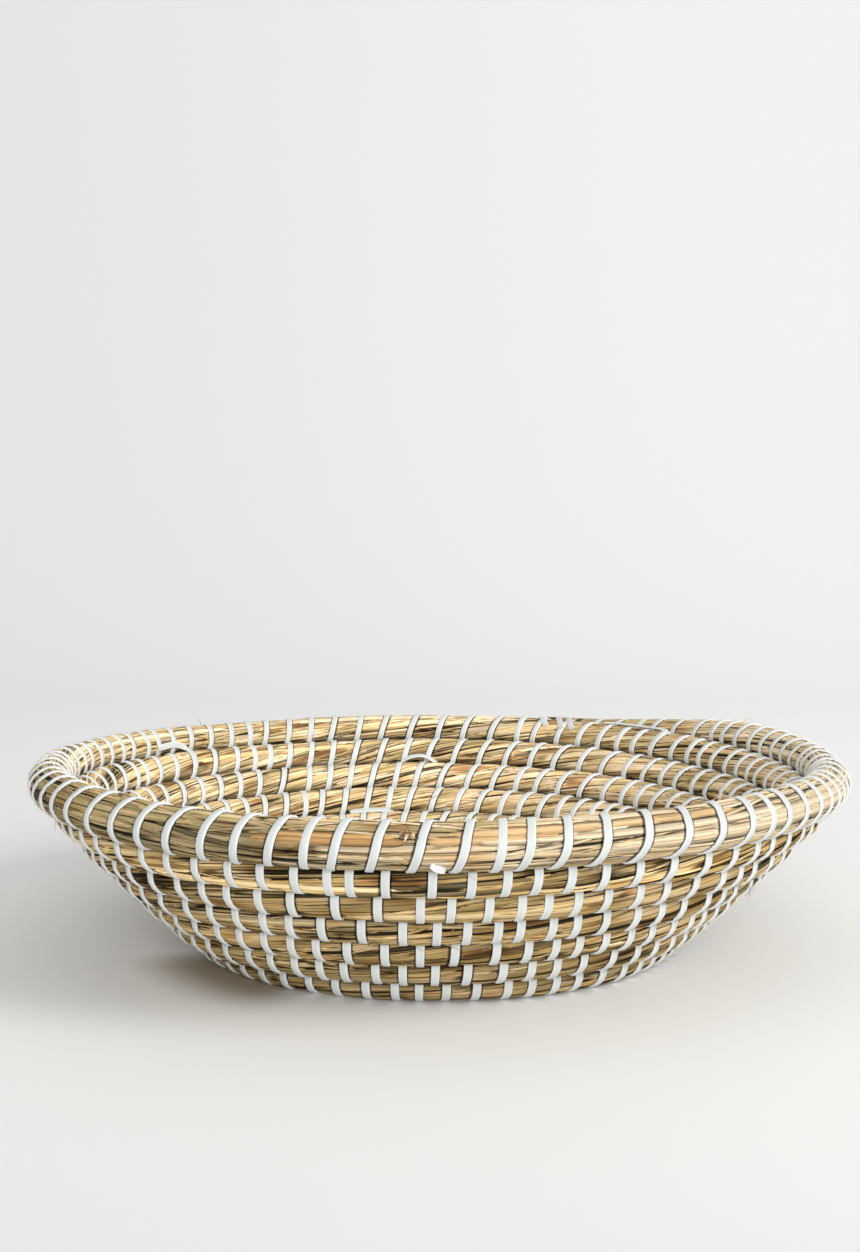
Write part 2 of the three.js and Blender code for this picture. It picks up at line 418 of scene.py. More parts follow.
def attribute(tree, name, output):
    # One of the mesh's own attributes, by name
    node = tree.nodes.new("ShaderNodeAttribute")
    node.attribute_name = name
    return node.outputs[output]


def noise(tree, vector, stretch, scale, detail):
    # Noise drawn out along X by one over the stretch
    mapping = tree.nodes.new("ShaderNodeMapping")
    mapping.inputs["Scale"].default_value = (stretch, 1, 1)
    tree.links.new(vector, mapping.inputs["Vector"])
    node = tree.nodes.new("ShaderNodeTexNoise")
    node.inputs["Scale"].default_value = scale
    node.inputs["Detail"].default_value = detail
    tree.links.new(mapping.outputs["Vector"], node.inputs["Vector"])
    return node.outputs["Fac"]


def separated(tree, vector):
    # The X, Y and Z of a vector
    node = tree.nodes.new("ShaderNodeSeparateXYZ")
    tree.links.new(vector, node.inputs["Vector"])
    return node.outputs


def vectorValue(tree, operation, *vectors):
    # A number worked out from vectors: a length or a dot product
    node = tree.nodes.new("ShaderNodeVectorMath")
    node.operation = operation
    for vector, socket in zip(vectors, node.inputs):
        feed(tree, vector, socket)
    return node.outputs["Value"]


def scaled(tree, color, factor):
    # A colour times a number
    node = tree.nodes.new("ShaderNodeVectorMath")
    node.operation = "SCALE"
    tree.links.new(color, node.inputs[0])
    tree.links.new(factor, node.inputs["Scale"])
    return node.outputs["Vector"]


def finishSurface(tree, shader, color, height, look):
    # The colour, a bump from the height, and the look's roughness and specular level
    bump = tree.nodes.new("ShaderNodeBump")
    bump.inputs["Strength"].default_value = look["bump"]
    bump.inputs["Distance"].default_value = look["bumpHeight"]
    tree.links.new(height, bump.inputs["Height"])
    tree.links.new(bump.outputs["Normal"], shader.inputs["Normal"])
    tree.links.new(color, shader.inputs["Base Color"])
    shader.inputs["Roughness"].default_value = look["roughness"]
    shader.inputs["Specular IOR Level"].default_value = look["specular"]


# Each noise has its stretch, its scale and its detail. Where four numbers stand together and aren't a colour,
# the first two are a range of a noise or a distance, and the last two the share, width or light it becomes.
def dryGrassMaterial():
    look = {
        "roughness": 0.8,
        "specular": 0.08,
        "bump": 0.5,
        "bumpHeight": 0.0002,
        "fibreNoise": (0.008, 2300, 3),
        "blotchNoise": (0.025, 420, 3),
        "gapNoise": (0.020, 420, 2),
        "streakNoise": (0.006, 2600, 2),
        "golden": (0.57, 0.33, 0.13, 1),
        "goldenShare": (0.52, 0.68, 0, 0.32),
        "pale": (0.76, 0.67, 0.47, 1),
        "paleShare": (0.46, 0.3, 0, 0.38),
        "gapWidth": (0.32, 0.60, 0.00003, 0.00040),
        "gapCore": 0.5,
        "gapLight": 0.05,
        "fibreLight": (0.36, 0.62, 0.68, 1.12),
        "streakLight": (0.35, 0.41, 0.50, 1),
        "paintedShadowBesideStrip": (0.0015, 0.0020, 0.18, 1),
        "paintedShadowShift": 0.012,
    }
    # stemPlace is a place on the straightened bundle. stitchPlace holds the count of stitches, the space
    # between two of them, and how far the edge of the stem is.
    material, tree, shader = newMaterial("dryGrass")
    place = attribute(tree, "stemPlace", "Vector")
    fibres = noise(tree, place, *look["fibreNoise"])
    blotches = noise(tree, place, *look["blotchNoise"])
    gapNoise = noise(tree, place, *look["gapNoise"])
    streaks = noise(tree, place, *look["streakNoise"])
    count, spacing, fromEdge = separated(tree, attribute(tree, "stitchPlace", "Vector"))
    color = mixed(tree, ranged(tree, blotches, *look["goldenShare"]), attribute(tree, "stemTint", "Color"),
                  look["golden"])
    color = mixed(tree, ranged(tree, blotches, *look["paleShare"]), color, look["pale"])
    # Dark lines along the edges of the stems: painted shade in the cracks between them
    gapWidth = ranged(tree, gapNoise, *look["gapWidth"])
    gapCore = calculated(tree, "MULTIPLY", gapWidth, look["gapCore"])
    gap = ranged(tree, fromEdge, gapCore, gapWidth, look["gapLight"], 1)
    # The grass beside each strip is darkened: a painted shadow of the strip, shifted so that it is darker on
    # one side
    shifted = calculated(tree, "ADD", count, look["paintedShadowShift"])
    fromStrip = calculated(tree, "MULTIPLY", calculated(tree, "PINGPONG", shifted, 0.5), spacing)
    beside = ranged(tree, fromStrip, *look["paintedShadowBesideStrip"])
    light = calculated(tree, "MULTIPLY", attribute(tree, "stemLight", "Fac"),
                       ranged(tree, fibres, *look["fibreLight"]))
    light = calculated(tree, "MULTIPLY", light, ranged(tree, streaks, *look["streakLight"]))
    light = calculated(tree, "MULTIPLY", calculated(tree, "MULTIPLY", light, gap), beside)
    finishSurface(tree, shader, scaled(tree, color, light), fibres, look)
    return material


def whiteStripMaterial():
    look = {
        "roughness": 0.5,
        "specular": 0.3,
        "bump": 0.12,
        "bumpHeight": 0.0002,
        # middle is the strip's own grey. edge is whiter: it is the colour of the fine lines, and towards the
        # band's edges it is a painted highlight
        "middle": (0.63, 0.665, 0.655, 1),
        "edge": (0.78, 0.79, 0.785, 1),
        "edgeHighlightShare": (0.0007, 0.0013, 0, 1),
        "lineNoise": (0.05, 2600, 2),
        "lineShare": (0.4, 0.7, 0, 0.35),
    }
    material, tree, shader = newMaterial("whiteStrip")
    place = attribute(tree, "stripPlace", "Vector")
    lines = noise(tree, place, *look["lineNoise"])
    aside = calculated(tree, "ABSOLUTE", separated(tree, place)[1])
    # Towards the edges the grey is mixed to the whiter colour: a painted highlight along the band's edges
    color = mixed(tree, ranged(tree, aside, *look["edgeHighlightShare"]), look["middle"], look["edge"])
    color = mixed(tree, ranged(tree, lines, *look["lineShare"]), color, look["edge"])
    color = scaled(tree, color, attribute(tree, "stripLight", "Fac"))
    finishSurface(tree, shader, color, lines, look)
    return material


dryGrass = dryGrassMaterial()
whiteStrip = whiteStripMaterial()
print("materials made")


# The bundle's surface, stem by stem. acrossShares and acrossHeights draw the arch of one stem, waveRates are
# in radians a metre, secondWave is a factor of rate and one of height, and tones holds the shares of a stem's
# own tone and of the patches, and a shift.
stems = {
    "count": 44,
    "widths": (0.45, 1.2),
    "wideShare": 0.22,
    "wideFactor": 2.3,
    "acrossShares": (0.0, 0.2, 0.8),
    "acrossHeights": (0.0, 1.0, 1.0),
    "archMost": 1.3,
    "ringStep": 0.0017,
    "sunk": (0, 0.00005, 0.0012),
    "waveRates": (12, 60),
    "wander": 0.19,
    "relief": 0.00042,
    "unevenness": 0.00022,
    "secondWave": (2, 0.6),
    "rimRelief": 0.6,
    "stemLength": (0.06, 0.30),
    "pieces": 160,
    "endShare": 0.05,
    "endDip": 0.0006,
    "endLight": 0.35,
    "gapDepth": 0.0002,
    "faintGaps": 0.25,
    "faintHeight": 0.55,
    "noGap": 0.0006,
    "gapStretch": 1.4,
    "tones": (0.5, 0.7, -0.1),
    "toneWaves": ((23, 1, 0.0, 1), (41, -2, 1.3, 1), (67, 2, 0.4, 1), (113, -3, 2.1, 1), (181, 5, 5.2, 1)),
    "toneCalm": 7,
    "lights": (0.8, 1.12),
    "darkStems": 0.07,
    "darkLight": 0.5,
    "groove": (0.66, 0.95),
    "grooveShade": 0.88,
    "insideLight": 0.62,
    "insideCalm": 0.5,
    "insideLean": 0.26,
    "leanAzimuth": 160,
    "outsideLight": -0.06,
    "footLight": -0.12,
    "footFade": (1.5, 6.5),
    "belowRimLight": 0.10,
    "underRimLight": 0.35,
    "underRimFade": (1.6, 2.1),
    "outsideContrast": 0.7,
    "outsideGaps": 0.25,
    "outsideTint": (1.0, 0.92, 0.72, 1.0),
    "zones": (
        (0.41, 0.12, 0.70, 0.7, 1.09, 0.3),
        (0.64, 0.51, 0.24, 0.6, 0.98, 1.6),
        (0.80, 0.64, 0.36, 0.4, 1.0, 1.3),
    ),
    "zoneBlend": 0.04,
    "pinch": 0.0005,
    "pinchedShare": 0.8,
    "seed": 3,
}
stemDraw = np.random.default_rng(stems["seed"])
stemWide = np.where(stemDraw.random(stems["count"]) < stems["wideShare"], stems["wideFactor"], 1)
stemEdges = np.cumsum(stemDraw.uniform(*stems["widths"], stems["count"]) * stemWide)
stemEdges = stemEdges / stemEdges[-1] * fullTurn
# Three of the four waves are used. The fourth keeps the draws after it as they are.
stemWaves = stemDraw.uniform(*stems["waveRates"], (4, stems["count"]))
stemPhases = stemDraw.uniform(0, fullTurn, (4, stems["count"]))
stemRuns = stemDraw.uniform(*stems["stemLength"], stems["count"])
stemStarts = stemDraw.uniform(0, 1, stems["count"])
piecesOfStems = (stems["count"], stems["pieces"])
stemTones = stemDraw.uniform(0, 1, piecesOfStems)
stemGaps = stemDraw.uniform(0, 1, piecesOfStems)
stemLights = stemDraw.uniform(*stems["lights"], piecesOfStems)
stemLights = stemLights * np.where(stemDraw.random(piecesOfStems) < stems["darkStems"], stems["darkLight"], 1)


def grooveAt(turn, angle):
    # 1 down in the grooves to the rows above and below, 0 on the round faces and along the free rim
    depth = smoothstep(np.abs(np.cos(angle)), *stems["groove"])
    return np.where(np.cos(angle) > 0, depth * (1 - freeShare(turn)), depth)


def patchTone(length, angle):
    # Slow waves of colour over groups of stems, about 0 to 1
    return 0.5 + waveSum(length, angle, stems["toneWaves"]) / stems["toneCalm"]


def zoned(turn, tone, light):
    # The rim leans to one look over each zone. A zone is two places in turns back from the bundle's end, a
    # place in the palette, the share by which the stems are drawn to it, and a factor and a power of their
    # light.
    back = turns - turn
    blend = stems["zoneBlend"]
    for first, last, target, weight, factor, power in stems["zones"]:
        inside = smoothstep(back, last - blend, last) * (1 - smoothstep(back, first, first + blend))
        tone = tone + weight * inside * (target - tone)
        light = light ** (1 + (power - 1) * inside) * (1 + (factor - 1) * inside)
    return tone, light


def belowRim(turn, angle):
    # 1 on the outside of the rows below the rim, 0 inside and along the rim
    return np.maximum(-np.sin(angle), 0) * (1 - rimShare(turn))


def shadeAt(turn, angle, light):
    # The light is lower in the grooves and outside towards the foot. Inside it is higher and more even, most
    # of all on the side that faces the key light. Outside below the rim the tint is browner and the stems
    # differ more, and the row right under the rim is lighter. The fades are in turns back from the end.
    back = turns - turn
    inside = np.maximum(np.sin(angle), 0)
    outside = np.maximum(-np.sin(angle), 0)
    below = belowRim(turn, angle)
    lean = stems["insideLean"] * np.cos(azimuthOf(turn) - math.radians(stems["leanAzimuth"]))
    foot = stems["footLight"] * smoothstep(back, *stems["footFade"])
    under = stems["underRimLight"] * (1 - smoothstep(back, *stems["underRimFade"]))
    light = light ** (1 - stems["insideCalm"] * inside)
    light = light * np.minimum(light, 1) ** (stems["outsideContrast"] * below)
    light = light * (1 - stems["grooveShade"] * grooveAt(turn, angle))
    light = light * (1 + inside * (stems["insideLight"] + lean))
    light = light * (1 + outside * (stems["outsideLight"] + foot))
    light = light * (1 + below * (stems["belowRimLight"] + under))
    return light, 1 + below[:, :, None] * (np.array(stems["outsideTint"]) - 1)


def bothEnds(share, within):
    # 0 at both ends of a run and 1 between them, with a smooth step at either end
    return smoothstep(share, 0, within) * smoothstep(1 - share, 0, within)


def stemLooks(length):
    # Which piece of each stem lies at a length: its tone, its light, whether its gap to the stem before it is
    # faint, and a window that is 0 at both ends of the piece. Past a faint gap a stem looks as the one before
    # it.
    run = length / stemRuns + stemStarts
    piece = np.mod(np.floor(run).astype(int), stems["pieces"])
    window = bothEnds(run - np.floor(run), stems["endShare"])
    stem = np.arange(stems["count"])
    faint = stemGaps[stem, piece] < stems["faintGaps"]
    tone = stemTones[stem, piece]
    bright = stemLights[stem, piece]
    tone = np.where(faint, np.roll(tone, 1, axis=1), tone)
    bright = np.where(faint, np.roll(bright, 1, axis=1), bright)
    return tone, bright, faint, window


def grassRows(name, fromTurn, toTurn):
    # A tube along the bundle. Each stem is a low arch across and runs along the tube, turning with it. Its
    # edges wander, its height rises and sinks in two waves, and it ends in a dip where the next stem begins.
    # The sunken rings at either end lie inside the neighbour, so that no seam shows.
    fromLength, toLength = lengthAt(fromTurn), lengthAt(toTurn)
    sunken = len(stems["sunk"]) - 1
    rings = int((toLength - fromLength) / stems["ringStep"]) + 2 * sunken + 2
    order = np.arange(rings)
    last = rings - 1 - sunken
    step = (toLength - fromLength) / (last - sunken)
    turn = turnAt(fromLength + step * (order - sunken))[:, None]
    beyond = np.maximum(np.maximum(sunken - order, order - last), 0)[:, None]
    length = lengthAt(turn)
    mean = fullTurn / stems["count"]
    edges = stemEdges + stems["wander"] * mean * np.sin(length * stemWaves[0] + stemPhases[0])
    widths = np.diff(np.concatenate([edges, edges[:, :1] + fullTurn], axis=1), axis=1)
    tone, bright, faint, window = stemLooks(length)
    low = 1 + (stems["rimRelief"] - 1) * rimShare(turn)
    faster, lower = stems["secondWave"]
    height = low * stems["unevenness"] * (np.sin(length * stemWaves[1] + stemPhases[1])
                                          + lower * np.sin(length * stemWaves[2] * faster + stemPhases[2]))
    height = height - stems["endDip"] * (1 - window)
    across = np.array(stems["acrossShares"])
    arch = np.array(stems["acrossHeights"])
    label = (edges[:, :, None] + widths[:, :, None] * across).reshape(rings, -1)
    heightBefore = np.roll(height, 1, axis=1)
    valley = np.minimum(height, heightBefore) - stems["gapDepth"]
    level = (height + heightBefore) / 2 + stems["faintHeight"] * stems["relief"]
    relief = (low * stems["relief"])[:, :, None]
    crown = height[:, :, None] + relief * arch * np.minimum(widths[:, :, None] / mean, stems["archMost"])
    crown[:, :, 0] = np.where(faint, level, valley)
    lift = crown.reshape(rings, -1) - stems["relief"]
    angle = label + twistAt(turn)
    pinch = pinchAt(turn, angle)
    lift = lift * (1 - stems["pinchedShare"] * pinch) - stems["pinch"] * pinch
    lift = lift - np.interp(beyond, np.arange(sunken + 1), stems["sunk"])
    points = placeOnBundle(turn, angle, lift)
    tones = np.repeat(tone, len(across), axis=1)
    endLight = stems["endLight"]
    light = np.repeat(bright * (endLight + (1 - endLight) * window), len(across), axis=1)
    ownShare, patchShare, shift = stems["tones"]
    tones, light = zoned(turn, ownShare * tones + patchShare * patchTone(length, label) + shift, light)
    light, shadeTint = shadeAt(turn, angle, light)
    tint = tintOf(np.clip(tones, 0, 1)) * shadeTint
    radius = bundle["thickness"] / 2
    fromEdge = np.minimum(across, 1 - across) * stems["gapStretch"] * widths[:, :, None] * radius
    # Outside below the rim the distance from the edge is scaled down, so the painted shade between the stems
    # is wider there
    fromEdge = fromEdge * (1 - stems["outsideGaps"] * belowRim(turn, angle)).reshape(fromEdge.shape)
    fromEdge[:, :, 0] = np.where(faint, stems["noGap"], 0)
    stitch = np.stack([stitchCount(turn, angle), stitchSpacing(turn) * np.ones(label.shape),
                       fromEdge.reshape(rings, -1)], axis=-1)
    place = np.stack([np.broadcast_to(length, label.shape), radius * np.cos(label),
                      radius * np.sin(label)], axis=-1)
    around = label.shape[1]
    faces = np.concatenate([tubeFaces(1, rings, around), capFaces(1, rings, around)])
    return meshPiece(name, points.reshape(-1, 3), faces, dryGrass, stemTint=tint.reshape(-1, 4),
                     stemLight=light.reshape(-1), stemPlace=place.reshape(-1, 3),
                     stitchPlace=stitch.reshape(-1, 3))


floorEnd = bundle["floorRadius"] / bundle["rowPitch"]
wholeWallTurns = 5
rowEnds = [floorEnd] + [turns - 1 - back for back in range(wholeWallTurns, -1, -1)]
wallRows = list(zip(rowEnds[:-1], rowEnds[1:]))
grassPieces = [grassRows("floorGrass", bundle["innerEndTurn"], floorEnd)]
for number, (start, end) in enumerate(wallRows, 1):
    grassPieces.append(grassRows(f"wallGrass{number}", start, end))
grassPieces.append(grassRows("rimGrass", turns - 1, turns))
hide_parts("base_coil")
for piece in grassPieces[1:-1]:
    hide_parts("wall_coil")
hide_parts("rim_coil")
print("grass rows made:", len(grassPieces))


# Single blades and stems that lie across the others. turnAcross and bend are in radians a metre.
blades = {
    "perMetre": 380,
    "length": (0.02, 0.09),
    "longShare": 0.2,
    "longFactor": 1.6,
    "clearOfEnd": 0.03,
    "width": (0.0005, 0.0018),
    "wideShare": 0.16,
    "wideFactor": 2.2,
    "taper": 0.85,
    "taperPower": 6,
    "thickShare": 0.25,
    "thickMost": 0.0003,
    "turnAcross": 14.0,
    "wideTurn": 0.35,
    "bend": 3,
    "lift": (-0.0004, 0.00008),
    "endShare": 0.12,
    "endDip": 0.0009,
    "pinch": 0.0003,
    "tone": (-0.1, 0.6),
    "patchShare": 0.6,
    "ownToneFrom": 0.61,
    "light": (0.75, 1.15),
    "darkShare": 0.1,
    "darkLight": 0.4,
    "edge": 0.00012,
    "acrossRadius": 0.0078,
    "besideRadius": 0.0084,
    "besideStep": 0.01,
    "steps": 13,
    "seed": 5,
}
# The four points of a blade's section, left edge, top, right edge and underside: the share of the width that
# each lies aside, the share of the thickness that it lies up, its light, and the share of the half width that
# it lies from the edge
bladeAsides = np.array([-0.5, 0.0, 0.5, 0.0])
bladeHeights = np.array([0.0, 1.0, 0.0, -1.0])
bladeLights = np.array([0.9, 1.0, 0.9, 0.4])
bladeInners = np.array([0.0, 1.0, 0.0, 0.0])


def bladeTubes(name, length, middle, width, thick, lift, tone, bright, edge):
    # Tubes with a low arch on top, one for each line of the arrays: the middle is a section angle, and the
    # width, thickness and lift are metres at each step along. One that runs backward is mirrored, so that its
    # faces still point outward. One with a high tone keeps it, and its light, in every zone.
    count, steps = length.shape
    sides = len(bladeAsides)
    turn = turnAt(length)
    backward = np.where(length[:, -1:] < length[:, :1], -1.0, 1.0)
    angle = middle[:, :, None] + (width * backward / blades["acrossRadius"])[:, :, None] * bladeAsides
    raised = lift[:, :, None] + thick[:, :, None] * bladeHeights
    turnsRound = turn[:, :, None] * np.ones(sides)
    points = placeOnBundle(turnsRound, angle, raised)
    patches = blades["patchShare"] * patchTone(length, middle - twistAt(turn))
    tones, lights = zoned(turn, tone + patches, bright)
    followsZones = tone < blades["ownToneFrom"]
    tones = np.where(followsZones, tones, tone)
    lights = np.where(followsZones, lights, bright)
    lights, shadeTint = shadeAt(turn, middle, lights)
    tint = (tintOf(np.clip(tones, 0, 1)) * shadeTint)[:, :, None] * np.ones((sides, 1))
    light = lights[:, :, None] * bladeLights
    # At the side points the painted shade of the cracks between stems darkens the blade's edges
    fromEdge = np.maximum(width[:, :, None] / 2 * bladeInners, edge)
    beside = angle * blades["besideRadius"] + blades["besideStep"] * np.arange(count)[:, None, None]
    place = np.stack([length[:, :, None] * np.ones(sides), beside, raised], axis=-1)
    stitch = np.stack([stitchCount(turnsRound, angle), stitchSpacing(turnsRound), fromEdge], axis=-1)
    faces = np.concatenate([tubeFaces(count, steps, sides), capFaces(count, steps, sides)])
    return meshPiece(name, points.reshape(-1, 3), faces, dryGrass, stemTint=tint.reshape(-1, 4),
                     stemLight=light.reshape(-1), stemPlace=place.reshape(-1, 3),
                     stitchPlace=stitch.reshape(-1, 3))


def looseBlades(name, fromTurn, toTurn, draw):
    # Each blade follows the bundle, drifts across its stems, bends a little, and dips under the surface at
    # both ends
    fromLength, toLength = lengthAt(fromTurn), lengthAt(toTurn)
    count = int((toLength - fromLength) * blades["perMetre"])
    size = draw.uniform(*blades["length"], (count, 1))
    size = size * np.where(draw.random((count, 1)) < blades["longShare"], blades["longFactor"], 1)
    start = draw.uniform(fromLength, toLength, (count, 1))
    start = np.minimum(start, fineLength[-1] - blades["clearOfEnd"] - size)
    share = np.linspace(0, 1, blades["steps"])[None]
    length = start + size * share
    turn = turnAt(length)
    wide = draw.random((count, 1)) < blades["wideShare"]
    drift = draw.normal(0, blades["turnAcross"], (count, 1)) * np.where(wide, blades["wideTurn"], 1)
    bend = draw.normal(0, blades["bend"], (count, 1))
    middle = draw.uniform(0, fullTurn, (count, 1)) + twistAt(turn) - twistAt(turn[:, :1])
    middle = middle + drift * (length - start) + bend * (length - start) * share
    width = draw.uniform(*blades["width"], (count, 1)) * np.where(wide, blades["wideFactor"], 1)
    width = width * (1 - np.abs(2 * share - 1) ** blades["taperPower"] * blades["taper"])
    base = draw.uniform(*blades["lift"], (count, 1))
    dip = blades["endDip"] * (1 - bothEnds(share, blades["endShare"]))
    lift = (base - dip) - blades["pinch"] * pinchAt(turn, middle)
    thick = np.minimum(width * blades["thickShare"], blades["thickMost"])
    toneStart, toneSpread = blades["tone"]
    tone = toneStart + toneSpread * draw.uniform(0, 1, (count, 1))
    bright = draw.uniform(*blades["light"], (count, 1))
    bright = bright * np.where(draw.random((count, 1)) < blades["darkShare"], blades["darkLight"], 1)
    return bladeTubes(name, length, middle, width, thick, lift, tone, bright, blades["edge"])


bladeDraw = np.random.default_rng(blades["seed"])
bladePieces = [looseBlades("floorBlades", bundle["innerEndTurn"], floorEnd, bladeDraw)]
for number, (start, end) in enumerate(wallRows, 1):
    bladePieces.append(looseBlades(f"wallBlades{number}", start, end, bladeDraw))
bladePieces.append(looseBlades("rimBlades", turns - 1, turns, bladeDraw))


# Broad blades that stand out on the rim and the rows under it. Each has how far back its two ends lie from
# the end of the bundle in turns, its section angles there in degrees, its width in millimetres and its place
# in the palette.
broadBlades = (
    (0.505, 0.449, 328, 333, 3.4, 0.97),
    (0.500, 0.451, 342, 345, 2.6, 0.93),
    (0.445, 0.330, 350, 372, 4.2, 0.84),
    (0.447, 0.400, 334, 340, 3.2, 0.86),
    (0.440, 0.300, 330, 345, 3.0, 0.70),
    (0.400, 0.230, 300, 318, 4.6, 0.68),
    (0.340, 0.180, 325, 345, 5.2, 0.71),
    (0.300, 0.200, 352, 366, 4.2, 0.69),
    (0.640, 0.520, 345, 350, 3.4, 0.05),
    (0.740, 0.640, 320, 330, 3.0, 0.00),
    (0.955, 0.860, 60, 72, 3.4, 0.74),
    (0.830, 0.720, 80, 92, 3.0, 0.64),
    (1.560, 1.450, 262, 274, 3.2, 0.70),
    (2.480, 2.380, 262, 280, 4.2, 0.67),
    (1.900, 1.790, 80, 100, 3.4, 0.86),
)
broadForm = {
    "endWidth": 0.25,
    "lift": 0.0001,
    "pinch": 0.0004,
    "thickness": 0.0004,
    "light": 1.08,
    "steps": 70,
}


def broadBladesOn(name):
    # Straight lines in turns and section angle, with the ends tapered and tucked in
    rows = np.array(broadBlades)
    share = np.linspace(0, 1, broadForm["steps"])[None]
    turn = turns - (rows[:, :1] + (rows[:, 1:2] - rows[:, :1]) * share)
    middle = np.radians(rows[:, 2:3] + (rows[:, 3:4] - rows[:, 2:3]) * share)
    ends = bothEnds(share, blades["endShare"])
    endWidth = broadForm["endWidth"]
    width = rows[:, 4:5] / 1000 * (endWidth + (1 - endWidth) * ends)
    lift = broadForm["lift"] - blades["endDip"] * (1 - ends) - broadForm["pinch"] * pinchAt(turn, middle)
    thick = np.full(width.shape, broadForm["thickness"])
    bright = np.full((len(rows), 1), broadForm["light"])
    return bladeTubes(name, lengthAt(turn), middle, width, thick, lift, rows[:, 5:6], bright, blades["edge"])


bladePieces.append(broadBladesOn("rimBroadBlades"))


# Fine hairs that stand off the rows, and a tuft of broken stems on the rim's front. Their back is in turns
# from the bundle's end, and their slant, curl and arch are in radians.
hairs = {
    "count": 150,
    "back": (0.02, 6.5),
    "backPower": 0.9,
    "length": (0.005, 0.022),
    "slant": 1.0,
    "curl": 0.3,
    "width": (0.00018, 0.0004),
    "taper": 0.6,
    "root": -0.0003,
    "rise": (0.0008, 0.0045),
    "tone": (0.62, 0.9),
    "edge": 0.001,
    "steps": 9,
    "seed": 21,
}
tuft = {
    "count": 30,
    "back": 0.4503,
    "angle": 350,
    "slant": 1.2,
    "backwardShare": 0.6,
    "length": (0.0014, 0.0038),
    "rise": (0.0010, 0.0026),
    "arch": 2.2,
    "width": (0.0009, 0.0017),
    "taper": 0.5,
    "thickShare": 0.35,
    "tone": (0.66, 0.92),
    "light": (0.25, 1.5),
    "edge": 0.001,
    "steps": 7,
    "seed": 8,
}


def fineHairs(name):
    # Each hair leaves the surface at a slant and its lift grows as the square of its share along
    draw = np.random.default_rng(hairs["seed"])
    count = hairs["count"]
    share = np.linspace(0, 1, hairs["steps"])[None]
    back = draw.uniform(*hairs["back"], (count, 1)) ** hairs["backPower"]
    start = lengthAt(turns - back)
    size = draw.uniform(*hairs["length"], (count, 1))
    slant = draw.normal(0, hairs["slant"], (count, 1))
    length = start + size * np.cos(slant) * share
    middle = draw.uniform(0, fullTurn, (count, 1)) + size * np.sin(slant) * share / blades["besideRadius"]
    middle = middle + draw.normal(0, hairs["curl"], (count, 1)) * share ** 2
    lift = hairs["root"] + draw.uniform(*hairs["rise"], (count, 1)) * share ** 2
    width = draw.uniform(*hairs["width"], (count, 1)) * (1 - hairs["taper"] * share)
    tone = draw.uniform(*hairs["tone"], (count, 1))
    bright = np.ones((count, 1))
    return bladeTubes(name, length, middle, width, width / 2, lift, tone, bright, hairs["edge"])


def brokenTuft(name):
    # Short stems that leave one spot in all directions, and whose lift is part of a sine wave
    draw = np.random.default_rng(tuft["seed"])
    count = tuft["count"]
    share = np.linspace(0, 1, tuft["steps"])[None]
    slant = draw.uniform(-tuft["slant"], tuft["slant"], (count, 1))
    slant = slant + np.where(draw.random((count, 1)) < tuft["backwardShare"], math.pi, 0)
    size = draw.uniform(*tuft["length"], (count, 1))
    length = lengthAt(turns - tuft["back"]) + size * np.cos(slant) * share
    middle = math.radians(tuft["angle"]) + size * np.sin(slant) * share / blades["besideRadius"]
    lift = draw.uniform(*tuft["rise"], (count, 1)) * np.sin(share * tuft["arch"])
    width = draw.uniform(*tuft["width"], (count, 1)) * (1 - tuft["taper"] * share)
    thick = width * tuft["thickShare"]
    tone = draw.uniform(*tuft["tone"], (count, 1))
    bright = draw.uniform(*tuft["light"], (count, 1))
    return bladeTubes(name, length, middle, width, thick, lift, tone, bright, tuft["edge"])


bladePieces.append(fineHairs("fineHairs"))
bladePieces.append(brokenTuft("rimTuft"))
print("blades and hairs made")


# Flat white strip. rimStart is in turns past the end of the row below the rim.
strip = {
    "width": 0.0030,
    "low": -0.0003,
    "high": 0.00062,
    "edge": 0.00045,
    "shoulder": 0.6,
    "insideLight": 0.15,
    "rimLight": 0.94,
    "lineStep": 0.05,
    "steps": 16,
    "rimSteps": 22,
    "rimStart": 0.004,
    "backStitches": 19,
    "leftStitches": 29,
    "leftOutAtEnd": 2,
}


def bandSection(low, shoulder, high, edge):
    # Six points round a flat band with its upper edges cut off: how far each lies aside, and its height
    half = strip["width"] / 2
    asides = np.array([half, half, half - edge, edge - half, -half, -half])
    return asides, np.array([low, shoulder, high, high, shoulder, low])


def lashing(name, firstStitch, lastStitch, steps):
    # A flat band carried round the row once a stitch, which moves on along the row as the stitches do
    around = np.arange((lastStitch - firstStitch) * steps + 1) / steps
    number = firstStitch + np.minimum(np.floor(around), lastStitch - firstStitch - 1)
    share = around - (number - firstStitch)
    start = stitchTurns[number.astype(int)]
    spacing = stitchTurns[number.astype(int) + 1] - start
    turn = np.minimum(start + spacing * advanceAt(start, share), turns)
    angle = math.pi + fullTurn * share
    shoulder = strip["high"] - strip["edge"] * strip["shoulder"]
    asides, lifts = bandSection(strip["low"], shoulder, strip["high"], strip["edge"])
    sides = len(asides)
    radius = np.interp(turn, fineTurns, fineRadius)
    turnsAround = turn[:, None] + asides / (fullTurn * radius[:, None])
    points = placeOnBundle(np.minimum(turnsAround, turns), angle[:, None] * np.ones(sides),
                           lifts * np.ones((len(turn), 1)))
    place = np.stack(np.broadcast_arrays(around[:, None] * strip["lineStep"], asides, lifts), axis=-1)
    light = 1 + strip["insideLight"] * np.maximum(np.sin(angle), 0)
    light = light * (1 + (strip["rimLight"] - 1) * rimShare(turn))
    faces = np.concatenate([tubeFaces(1, len(turn), sides), capFaces(1, len(turn), sides)])
    return meshPiece(name, points.reshape(-1, 3), faces, whiteStrip, stripPlace=place.reshape(-1, 3),
                     stripLight=np.repeat(light, sides))


